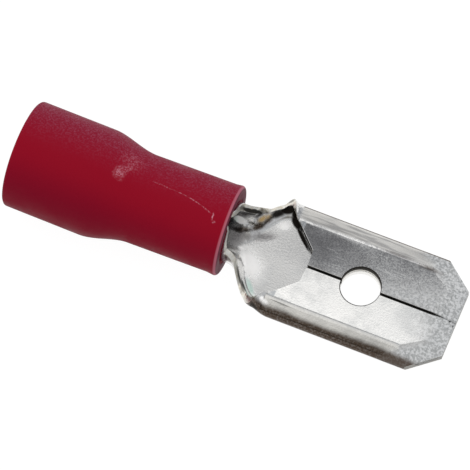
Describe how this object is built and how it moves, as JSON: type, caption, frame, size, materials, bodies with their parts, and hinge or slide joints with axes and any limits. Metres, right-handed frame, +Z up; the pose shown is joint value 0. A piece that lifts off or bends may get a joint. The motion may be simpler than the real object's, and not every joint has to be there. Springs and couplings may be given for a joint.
{
  "type": "male spade terminal",
  "caption": "Folded sheet-metal spade tab with a detent hole, joined by an open neck to a crimp barrel inside a stepped plastic sleeve.",
  "frame": {"origin": "middle of the part's length and width, at the level of the sleeve's lowest line", "axes": "+X along the terminal towards the tip of the tab, +Y across the tab, +Z up on the side where the folded flaps meet"},
  "size_m": [0.0234, 0.0064, 0.0056],
  "materials": {
    "tinned_brass": "bright tin plate, lightly scuffed",
    "red_pvc": "satin crimson PVC, lightly scuffed"
  },
  "bodies": {
    "root": {"terminal_body": "tinned_brass", "insulating_sleeve": "red_pvc"}
  },
  "joints": []
}
